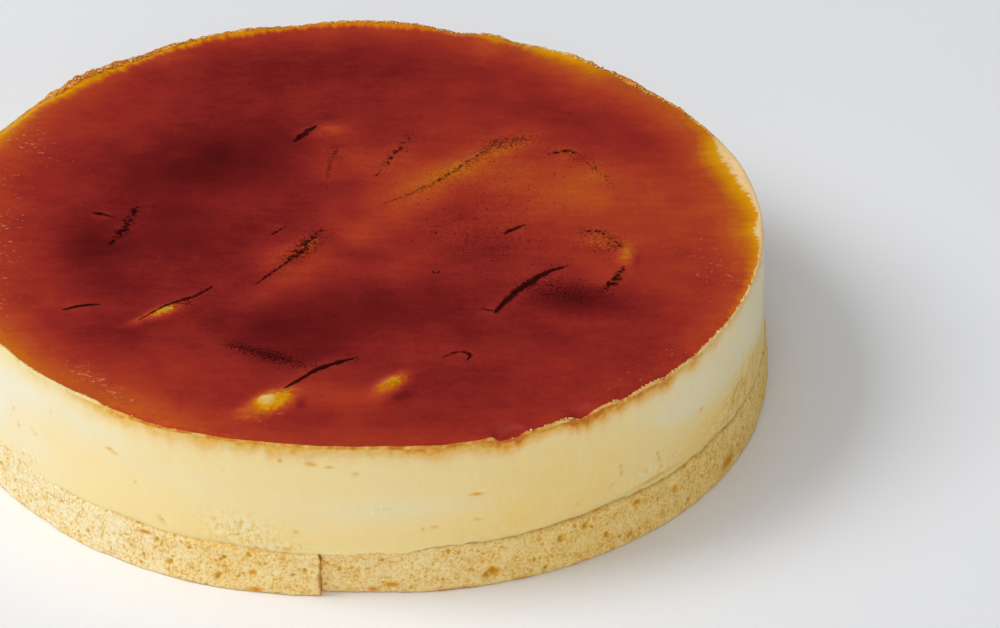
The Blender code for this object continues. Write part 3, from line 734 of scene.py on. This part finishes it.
def sponge_crumb(place, angle):
    """Pores of a baked sponge: a few large ones, many middling and fine ones, between rounded walls."""
    warp = np.stack([noise(place, 1.4, s) for s in (91, 92, 93)], axis=1) * 0.4 * MM
    bent = place + warp
    large = pits(bent, 5, 101, 0.42, 0.5, 1.2)
    for pore in LARGE_PORES:
        large = np.maximum(large, side_patch(angle, bent[:, 2], *pore))
    middle = pits(bent, 2.2, 111, 0.55, 0.35, 0.85)
    fine = pits(bent, 0.9, 121, 0.8, 0.22, 0.46)
    swell = rough(place, 4.2, 131)
    crust = noise(place, 0.8, 137)
    out = 0.1 * MM + 0.18 * MM * swell + 0.06 * MM * crust
    out -= 0.55 * MM * large + 0.3 * MM * middle + 0.14 * MM * fine
    # How deep a point lies in a pore; the material paints deeper points darker and more golden, as painted
    # shade
    pit = np.maximum(np.maximum(0.85 * large, 0.8 * middle), 0.4 * fine) - 0.14 * swell
    return {"out": out, "pit": np.clip(pit, 0, 1)}


def glaze_plan():
    """A flat disc of fine cells, finer still at the strokes: its points, faces and border."""
    mesh = bmesh.new()
    bmesh.ops.create_grid(mesh, x_segments=GLAZE_CELLS, y_segments=GLAZE_CELLS, size=1)
    disc = square_to_disc(np.array([vertex.co[:2] for vertex in mesh.verts]))
    for vertex, (x, y) in zip(mesh.verts, disc):
        vertex.co = (x * CREAM_TOP_RADIUS, y * CREAM_TOP_RADIUS, 0)
    for reach in (2.4, 1.3):
        refine_near_strokes(mesh, reach)
    border = [vertex for vertex in mesh.verts if vertex.is_boundary]
    border.sort(key=lambda vertex: math.atan2(vertex.co.x, -vertex.co.y))
    border = [vertex.index for vertex in border]
    faces = [[vertex.index for vertex in face.verts] for face in mesh.faces]
    plan = np.array([vertex.co[:2] for vertex in mesh.verts])
    mesh.free()
    return plan, faces, border


def make_glaze():
    """The poured caramel, which follows the ragged line of the rim."""
    plan, faces, border = glaze_plan()
    angle = np.degrees(np.arctan2(plan[:, 0], -plan[:, 1]))
    share = np.hypot(plan[:, 0], plan[:, 1]) / CREAM_TOP_RADIUS
    edge = CREAM_TOP_RADIUS - RIM_GAP - rim_width(angle)
    outwards = ease((share - 0.72) / 0.28)
    radius = share * (CREAM_TOP_RADIUS * (1 - outwards) + edge * outwards)
    x, y = at(radius, angle)
    top = glaze_top(x, y, radius, angle, edge)
    points = np.stack([x, y, top.pop("height")], axis=1)
    underside = GLAZE_FLOOR + LAYER_GAP
    lower = points[border] * np.array([1, 1, 0]) + np.array([0, 0, underside])
    count, ring = len(points), len(border)
    after = [*range(1, ring), 0]
    faces += [(border[i], count + i, count + after[i], border[after[i]]) for i in range(ring)]
    faces += fan(count, ring, count + ring)
    points = np.concatenate([points, lower, [[0, 0, underside]]])
    measures = {key: np.concatenate([values, values[border], [0.5]]) for key, values in top.items()}
    return make_mesh("caramel_glaze", points, faces, measures)


def square_to_disc(flat):
    """Bends a square from -1 to 1 into a round disc with cells of even size."""
    x, y = flat[:, 0], flat[:, 1]
    wide = np.abs(x) >= np.abs(y)
    radius = np.where(wide, x, y)
    slope = np.where(wide, y, x) / np.where(radius == 0, 1, radius)
    turn = np.where(wide, np.pi / 4 * slope, np.pi / 2 - np.pi / 4 * slope)
    return np.stack([radius * np.cos(turn), radius * np.sin(turn)], axis=1)


def refine_near_strokes(mesh, reach):
    """Splits the cells that lie close to a stroke or a bubble."""
    plan = np.array([vertex.co[:2] for vertex in mesh.verts]) / MM
    nearest = np.full(len(plan), np.inf)
    for line, *_ in STROKES:
        nearest = np.minimum(nearest, along_line(plan[:, 0], plan[:, 1], line)[0])
    for x, y, radius in BUBBLES:
        nearest = np.minimum(nearest, np.hypot(plan[:, 0] - x, plan[:, 1] - y) - radius)
    close = nearest < reach
    edges = {edge for face in mesh.faces if any(close[v.index] for v in face.verts) for edge in face.edges}
    bmesh.ops.subdivide_edges(mesh, edges=list(edges), cuts=1, use_grid_fill=True)
    mesh.verts.index_update()
    mesh.verts.ensure_lookup_table()


def glaze_top(x, y, radius, angle, edge):
    """Height of the caramel's surface and, at each point, what its colour depends on."""
    place = np.stack([x, y, np.zeros(len(x))], axis=1)
    px, py = x / MM, y / MM
    height = 0.2 * noise(place, 30, 201) + 0.07 * noise(place, 11, 203)
    brown = BASE_BROWN + 0.035 * rough(place, 22, 211) + 0.03 * rough(place, 6, 213)
    # The zones add painted shade and a painted highlight to the caramel's brown, along with its thickness
    brown += patches(px, py, THICKNESS_AND_PAINTED_LIGHT_ZONES)
    grains = rough(place, 0.7, 221, octaves=2)
    for *oval, rise, target, strength in BUMPS:
        spot = patch(px, py, *oval)
        height += rise * spot
        brown += (target - brown) * np.clip(1.5 * strength * spot * (1 + 0.35 * grains), 0, 1)
    rise, thinner, burn, speck = glaze_strokes(px, py, grains, noise(place, 1.5, 225))
    height += rise
    brown -= thinner
    for bubble_x, bubble_y, bubble_radius in BUBBLES:
        away = np.hypot(px - bubble_x, py - bubble_y) / bubble_radius
        height += 0.15 * np.sqrt(np.clip(1 - away**2, 0, 1))
        burn = np.maximum(burn, 0.8 * np.exp(-(((away - 0.9) / 0.3) ** 2)))
    inside = np.maximum(edge - radius, 0) / MM
    brown -= around(EDGE, angle, 3) * np.exp(-((inside / around(EDGE, angle, 4)) ** 2))
    lip = around(RIM, angle, 2)
    to_rim = np.exp(-inside / (0.6 + np.clip(-0.9 * lip, 0, 1.2)))
    height = height * (1 - to_rim) + (lip - 0.06 - rim_fall(angle)) * to_rim
    return {
        "height": CAKE_HEIGHT + height * MM,
        "brown": np.clip(brown, 0, 1.1),
        "burn": burn,
        "scorch": np.clip(patches(px, py, SCORCHES), 0, 1),
        "speck": np.clip(speck + patches(px, py, BURNT_SPECKS), 0, 1),
        "painted_glint": np.clip(patches(px, py, PAINTED_GLINT_SPOTS), 0, 1),
        "inside": inside,
        "gold": around(EDGE, angle),
        "gold_width": around(EDGE, angle, 2),
        "fringe": around(EDGE, angle, 5),
    }


def glaze_strokes(x, y, grains, wobble):
    """What the strokes do: how much their folds stand up, how much thinner they are, burnt lines, specks."""
    rise, thinner, burn, speck = (np.zeros(len(x)) for _ in range(4))
    for line, half_width, burnt, grainy, fold, fold_width in STROKES:
        away, side, along = along_line(x, y, smooth_line(line))
        taper = ease(along / 0.35) * ease((1 - along) / 0.35)
        spread = half_width * np.maximum(0.5 + 0.65 * taper + 0.4 * wobble, 0.15)
        line_burn = burnt * np.exp(-((away / spread) ** 2))
        line_burn *= 1 - grainy * np.clip(0.45 - 1.3 * grains, 0, 1)
        burn = np.maximum(burn, line_burn)
        speck += 0.5 * grainy * np.exp(-((away / (2.6 * half_width)) ** 2))
        reach = taper * np.exp(-((away / np.where(side > 0, fold_width, 2.8)) ** 2))
        rise += fold * reach
        thinner += 0.06 * reach
    return rise, thinner, burn, speck


def make_crumbs():
    """Small broken crumbs of cream on the craggy stretches of the rim, where the caramel begins."""
    lump = bmesh.new()
    bmesh.ops.create_icosphere(lump, subdivisions=1, radius=1)
    shape = np.array([vertex.co for vertex in lump.verts])
    triangles = np.array([[vertex.index for vertex in face.verts] for face in lump.faces])
    lump.free()
    tries = np.arange(CRUMB_TRIES)
    cell = np.stack([tries, tries * 0, tries * 0], axis=1)
    chance = [lattice(cell, seed) for seed in range(301, 310)]
    angle = chance[0] * 360 - 180
    crag = around(RIM, angle, 3)
    kept = chance[1] < (crag - 0.1) * 3
    angle, crag = angle[kept], crag[kept]
    size = (0.09 + 0.2 * chance[2][kept] ** 2) * MM
    squash = 0.6 + 0.9 * np.stack([row[kept] for row in chance[6:9]], axis=1) * np.array([1, 1, 0.6])
    width = rim_width(angle)
    radius = CREAM_TOP_RADIUS - width * (0.45 + 0.65 * chance[3][kept])
    height = CAKE_HEIGHT + (around(RIM, angle, 2) + 0.04 + 0.35 * crag * chance[4][kept]) * MM
    centre = place_at(radius, angle, height)
    points, faces = [], []
    for i in range(len(angle)):
        rugged = 1 + 0.45 * rough(shape + 10 * i, 0.9 / MM, 311, octaves=2)
        points.append(centre[i] + size[i] * shape * rugged[:, None] * squash[i])
        faces.append(triangles + i * len(shape))
    toast = np.repeat(0.05 + 0.75 * chance[5][kept], len(shape))
    measures = {key: np.zeros(len(toast)) for key in CREAM_MEASURES}
    measures.update({"toast": toast, "pale": np.full(len(toast), 0.1)})
    return make_mesh("rim_crumbs", np.concatenate(points), np.concatenate(faces).tolist(), measures)


# Materials


class Value:
    """A number or colour that a node gives; sums with it add further nodes."""

    def __init__(self, tree, socket):
        self.tree = tree
        self.socket = socket

    def __add__(self, other):
        return maths("ADD", self, other)

    def __sub__(self, other):
        return maths("SUBTRACT", self, other)

    def __mul__(self, other):
        return maths("MULTIPLY", self, other)


def new_material(name):
    """A material, its node tree and its shader."""
    material = bpy.data.materials.new(name)
    material.use_nodes = True
    return material, material.node_tree, material.node_tree.nodes["Principled BSDF"]


def feed(tree, node, inputs):
    """Sets a node's inputs, or joins them to what other nodes give."""
    for key, value in inputs.items():
        if isinstance(value, Value):
            tree.links.new(value.socket, node.inputs[key])
        else:
            node.inputs[key].default_value = value


def add(tree, kind, inputs, output=0, **settings):
    """Adds a node with its settings and inputs, and returns what one of its outputs gives."""
    node = tree.nodes.new(kind)
    for key, value in settings.items():
        setattr(node, key, value)
    feed(tree, node, inputs)
    return Value(tree, node.outputs[output])


def maths(operation, *values, clamp=False):
    """One sum on numbers and values."""
    tree = next(value.tree for value in values if isinstance(value, Value))
    return add(tree, "ShaderNodeMath", dict(enumerate(values)), operation=operation, use_clamp=clamp)


def attribute(tree, name):
    """The number that a mesh holds at each point under this name."""
    return add(tree, "ShaderNodeAttribute", {}, "Fac", attribute_name=name)


def mix(factor, first, second, blend="MIX"):
    """Two colours mixed by a factor."""
    inputs = {0: factor, 6: first, 7: second}
    return add(factor.tree, "ShaderNodeMix", inputs, 2, data_type="RGBA", blend_type=blend)


def ramp(factor, stops):
    """Linear colours along a scale, from rows of a position and a colour."""
    result = add(factor.tree, "ShaderNodeValToRGB", {0: factor})
    elements = result.socket.node.color_ramp.elements
    elements[0].position, elements[0].color = stops[0]
    elements[1].position, elements[1].color = stops[-1]
    for position, colour in stops[1:-1]:
        elements.new(position).color = colour
    return result


def shades(factor, *stops):
    """The same from rows of a position and the red, green and blue seen on a screen."""
    return ramp(factor, [(position, srgb(*colour)) for position, *colour in stops])


def fit(value, low, high):
    """Stretches a value so that low becomes 0 and high becomes 1."""
    return add(value.tree, "ShaderNodeMapRange", {"Value": value, "From Min": low, "From Max": high})


def centred(value, amount):
    """Turns noise from 0 to 1 into noise round 0, of this reach."""
    return (value - 0.5) * amount


def object_place(tree, scale=(1, 1, 1)):
    """Places in the object's own space, scaled along its axes."""
    place = add(tree, "ShaderNodeTexCoord", {}, "Object")
    return add(tree, "ShaderNodeMapping", {"Vector": place, "Scale": scale})


def cloud(place, size, detail=3, roughness=0.6):
    """Noise from 0 to 1 at these places, with features of about this size in mm."""
    inputs = {"Vector": place, "Scale": 1 / (size * MM), "Detail": detail, "Roughness": roughness}
    return add(place.tree, "ShaderNodeTexNoise", inputs, "Fac")


def grain(tree, size, detail=3, roughness=0.55, scale=(1, 1, 1)):
    """The same in the object's own space, which can be scaled along its axes."""
    return cloud(object_place(tree, scale), size, detail, roughness)


def dots(tree, size, share, reach):
    """Scattered dots: the size of a cell in mm, the share of cells with a dot, its radius in cells."""
    inputs = {"Vector": object_place(tree), "Scale": 1 / (size * MM)}
    away = add(tree, "ShaderNodeTexVoronoi", inputs, "Distance", voronoi_dimensions="2D")
    chance = Value(tree, away.socket.node.outputs["Color"])
    chance = add(tree, "ShaderNodeSeparateColor", {0: chance}, 2)
    return fit(away, reach, reach * 0.4) * maths("LESS_THAN", chance, share)


def rays(tree, size):
    """Noise drawn out along lines that run from the axis outwards, with lines this wide at the rim."""
    flat = object_place(tree, (1, 1, 0))
    length = add(tree, "ShaderNodeVectorMath", {0: flat}, "Value", operation="LENGTH")
    direction = add(tree, "ShaderNodeVectorMath", {0: flat}, operation="NORMALIZE")
    inputs = {0: direction, "Scale": CREAM_TOP_RADIUS}
    outwards = add(tree, "ShaderNodeVectorMath", inputs, operation="SCALE")
    upwards = add(tree, "ShaderNodeCombineXYZ", {"Z": length * RAY_SHORTENING})
    return cloud(add(tree, "ShaderNodeVectorMath", {0: outwards, 1: upwards}, operation="ADD"), size)


def streaks(tree, size):
    """Noise drawn out along the cake's right side, rising a little towards the back."""
    place = add(tree, "ShaderNodeTexCoord", {}, "Object")
    inputs = {"Vector": place, "Rotation": (0.22, 0, -0.3), "Scale": (1, 6, 1)}
    return cloud(add(tree, "ShaderNodeMapping", inputs, vector_type="TEXTURE"), size)


def bump(height, distance, strength):
    """A bumped normal from a height, with the distance in mm."""
    inputs = {"Height": height, "Distance": distance * MM, "Strength": strength}
    return add(height.tree, "ShaderNodeBump", inputs)


def caramel_brown(tree, inside):
    """How brown the caramel is: mottled, and golden where it feathers out towards the rim."""
    brown = attribute(tree, "brown") + centred(grain(tree, 12), 0.1)
    brown += centred(grain(tree, 1.3, 5, 0.7), 0.16)
    brown += centred(grain(tree, 2.4, 4, scale=(0.35, 1, 1)), 0.12)
    feather = inside + centred(rays(tree, 1.6), 3.8)
    thin = fit(maths("DIVIDE", feather, attribute(tree, "gold_width")), 1.8, 0.4)
    return maths("ADD", brown, (attribute(tree, "gold") - brown) * thin, clamp=True)


def add_specks(tree, colour):
    """Fine brown grains, coarse burnt specks and pale painted glints."""
    speck = attribute(tree, "speck")
    fine = fit(grain(tree, 0.55, 2) + speck * 0.14, 0.57, 0.67)
    fine = maths("MULTIPLY", fine, speck * 0.8, clamp=True)
    colour = mix(fine, colour, srgb(90, 16, 13))
    coarse = dots(tree, 1.5, speck * speck * 0.34, 0.2)
    colour = mix(coarse * 0.8, colour, srgb(46, 8, 8))
    # The pale pink specks are painted glints: highlights of tiny bumps painted into the colour
    painted_glint = attribute(tree, "painted_glint")
    pale = fit(grain(tree, 0.8, 2, scale=(0.7, 1, 1)) + painted_glint * 0.1, 0.68, 0.76)
    pale = maths("MULTIPLY", pale, painted_glint * 0.75, clamp=True)
    return mix(pale, colour, srgb(226, 164, 124))


def add_burns(tree, colour):
    """Mottled scorch marks and the burnt lines of the strokes, and how burnt each place is."""
    scorch = attribute(tree, "scorch")
    scorched = fit(scorch + centred(grain(tree, 0.55, 3, 0.65), 3.4), 0.5, 0.9) * fit(scorch, 0.05, 0.4)
    colour = mix(scorched * 0.8, colour, srgb(56, 12, 8))
    burn = attribute(tree, "burn")
    burnt = fit(burn + centred(grain(tree, 0.45), 0.9), 0.3, 0.7) * fit(burn, 0.06, 0.25)
    return mix(burnt * 0.94, colour, srgb(34, 6, 5)), maths("MAXIMUM", burnt, scorched)


def caramel_material():
    """Burnt caramel: yellow where thin, red where thick, black where scorched, painted shade and glints,
    under a clear gloss.
    """
    material, tree, shader = new_material("burnt_caramel")
    inside = attribute(tree, "inside")
    colour = shades(
        caramel_brown(tree, inside),
        (0, 244, 214, 158), (0.07, 234, 184, 84), (0.13, 230, 158, 8), (0.22, 212, 120, 18),
        (0.34, 198, 87, 34), (0.46, 184, 63, 37), (0.6, 158, 44, 35), (0.74, 124, 28, 27),
        (0.88, 98, 18, 17), (1, 70, 10, 10),
    )
    fringe = attribute(tree, "fringe")
    beige = fit(inside + centred(rays(tree, 1), 3.2) - fringe, 0.15, -0.35)
    colour = mix(beige * fit(fringe, 0, 0.3), colour, srgb(240, 200, 136))
    colour, burns = add_burns(tree, add_specks(tree, colour))
    matt = maths("MAXIMUM", burns, fit(inside, 2.4, 0.6), clamp=True)
    feed(tree, shader, {
        "Base Color": colour,
        "Roughness": 0.45,
        "IOR": 1.05,
        "Coat Weight": maths("SUBTRACT", 1, matt) * 0.45,
        "Coat Roughness": 0.16,
        "Normal": bump(grain(tree, 2.5), 0.04, 0.25),
    })
    return material


def cream_material(name):
    """Set cream: pale yellow, greyer where its skin is firm, browned under the rim."""
    material, tree, shader = new_material(name)
    colour = mix(grain(tree, 9), srgb(246, 221, 152), srgb(245, 224, 164))
    colour = mix(attribute(tree, "deep"), colour, srgb(246, 210, 118))
    colour = mix(attribute(tree, "pale"), colour, srgb(238, 231, 204))
    mottle = fit(grain(tree, 1.4, 5, 0.7), 0.35, 0.75)
    colour = mix(mottle * 0.22, colour, srgb(250, 230, 182))
    toast = attribute(tree, "toast") * (grain(tree, 0.9, 4) * 0.8 + 0.6)
    toasted = shades(
        toast,
        (0, 246, 221, 152), (0.25, 243, 207, 143), (0.5, 238, 187, 92), (0.8, 222, 146, 36),
        (1, 203, 114, 20),
    )
    colour = mix(fit(toast, 0.02, 0.3), colour, toasted)
    colour = mix(attribute(tree, "peach") * 0.9, colour, srgb(255, 210, 152))
    lumps = grain(tree, 1.1, roughness=0.6)
    bubbly = attribute(tree, "bubbly")
    # Painted shade in the crevices between the bubbles and painted highlights on their crests, following the
    # bump's noise
    colour = mix(fit(lumps, 0.48, 0.34) * bubbly, colour, srgb(231, 186, 74))
    colour = mix(fit(lumps, 0.5, 0.6) * bubbly, colour, srgb(250, 233, 184))
    furrows = streaks(tree, 0.6)
    dragged = attribute(tree, "dragged")
    colour = mix(fit(furrows, 0.52, 0.38) * dragged, colour, srgb(220, 172, 46))
    marked = maths("MULTIPLY", attribute(tree, "mark"), 1.35, clamp=True)
    relief = grain(tree, 0.6) + grain(tree, 3) * 1.5 + lumps * bubbly * 8 + furrows * dragged * 7
    feed(tree, shader, {
        "Base Color": mix(marked, colour, srgb(229, 173, 36)),
        "Roughness": 0.5,
        "Specular IOR Level": 0.3,
        "Subsurface Weight": 0.25,
        "Subsurface Radius": (1, 0.6, 0.25),
        "Subsurface Scale": 2 * MM,
        "Normal": bump(relief, 0.08, 0.6),
    })
    return material


def sponge_material(name):
    """Baked sponge: pale walls, pores painted golden by their depth as painted shade, and a browned skin at
    the bottom edge.
    """
    material, tree, shader = new_material(name)
    fine = fit(grain(tree, 0.75, 4, 0.65), 0.42, 0.66)
    pit = maths("MAXIMUM", attribute(tree, "pit"), fine * 0.5) + centred(grain(tree, 0.5, 2), 0.9)
    pit = maths("ADD", pit, centred(grain(tree, 3.5, 4), 0.9), clamp=True)
    # A point deeper in a pore, or at the seam, is painted darker and more golden: painted shade over the
    # crumb's own mottled tone
    colour = shades(
        pit,
        (0, 250, 236, 196), (0.25, 245, 221, 162), (0.5, 231, 190, 100), (0.75, 219, 168, 58),
        (1, 200, 142, 36),
    )
    colour = mix(attribute(tree, "deep"), colour, srgb(253, 235, 186), "MULTIPLY")
    skin = maths("MULTIPLY", attribute(tree, "skin"), grain(tree, 1.2, 4) + 0.35, clamp=True)
    feed(tree, shader, {
        "Base Color": mix(skin, colour, srgb(221, 148, 22)),
        "Roughness": 0.85,
        "Specular IOR Level": 0.2,
        "Subsurface Weight": 0.2,
        "Subsurface Radius": (1, 0.7, 0.35),
        "Subsurface Scale": 1.5 * MM,
        "Normal": bump(maths("SUBTRACT", 1, fine), 0.18, 0.6),
    })
    return material


# The room: camera, floor and light


def make_camera():
    """The photograph's view: a long lens, turned a little on its axis."""
    camera = show("camera", bpy.data.cameras.new("camera"))
    tilt = math.radians(CAMERA_ELEVATION)
    camera.location = (0, -CAMERA_DISTANCE * math.cos(tilt), CAKE_HEIGHT + CAMERA_DISTANCE * math.sin(tilt))
    look = (Vector(CAMERA_AIM) - camera.location).to_track_quat("-Z", "Y")
    camera.rotation_mode = "QUATERNION"
    camera.rotation_quaternion = look @ Quaternion((0, 0, 1), math.radians(CAMERA_ROLL))
    camera.data.lens = CAMERA_LENS
    camera.data.sensor_width = SENSOR_WIDTH
    camera.data.clip_start = 0.05
    bpy.context.scene.camera = camera


def make_floor():
    """A plain pale floor, wide enough for every view."""
    mesh = bmesh.new()
    bmesh.ops.create_circle(mesh, cap_ends=True, segments=96, radius=4)
    data = bpy.data.meshes.new("floor")
    mesh.to_mesh(data)
    mesh.free()
    floor = show("floor", data)
    material, tree, shader = new_material("pale_floor")
    colour = mix(grain(tree, 120), srgb(249, 250, 252), srgb(251, 251, 253))
    feed(tree, shader, {"Base Color": colour, "Roughness": 0.6, "Specular IOR Level": 0.2})
    data.materials.append(material)


def add_softbox(name, place, size, power):
    """A square area light that faces the cake."""
    light = bpy.data.lights.new(name, "AREA")
    light.shape = "SQUARE"
    light.size = size
    light.energy = power
    lamp = show(name, light)
    lamp.location = place
    lamp.rotation_euler = (Vector((0, 0, 0.02)) - Vector(place)).to_track_quat("-Z", "Y").to_euler()


def light_room():
    """A large soft light at the left, a weaker one in front, and a pale room that is dark behind."""
    add_softbox("key", (-1.55, 0, 1.6), 1.2, 31.7)
    add_softbox("front", (0.1, -1.8, 0.6), 1.2, 9.6)
    world = bpy.data.worlds.new("room")
    bpy.context.scene.world = world
    world.use_nodes = True
    tree = world.node_tree
    up = add(tree, "ShaderNodeTexCoord", {}, "Generated")
    up = add(tree, "ShaderNodeSeparateXYZ", {0: up}, "Z")
    sky = ramp(up, ((0, ROOM_LOW), (0.14, ROOM_LOW), (0.28, ROOM_DARK), (0.78, ROOM_DARK), (0.92, ROOM_TOP)))
    feed(tree, tree.nodes["Background"], {"Color": sky})
    bpy.context.scene.view_settings.view_transform = "Standard"


def dress(piece, node, material, is_extra=False):
    """Gives a piece its material, joins it to the cake's one body and lets it stand for a solid."""
    piece.data.materials.append(material)
    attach(piece, "root")
    if not is_extra:
        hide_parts(node)


make_camera()
make_floor()
light_room()
dress(make_cream(), "cream", cream_material("set_cream"))
dress(make_crumbs(), "cream", cream_material("cream_crumbs"), is_extra=True)
dress(make_sponge("sponge_left_crumb", False), "sponge_left", sponge_material("sponge_lit"))
dress(make_sponge("sponge_right_crumb", True), "sponge_right", sponge_material("sponge_deep"))
dress(make_glaze(), "glaze", caramel_material())
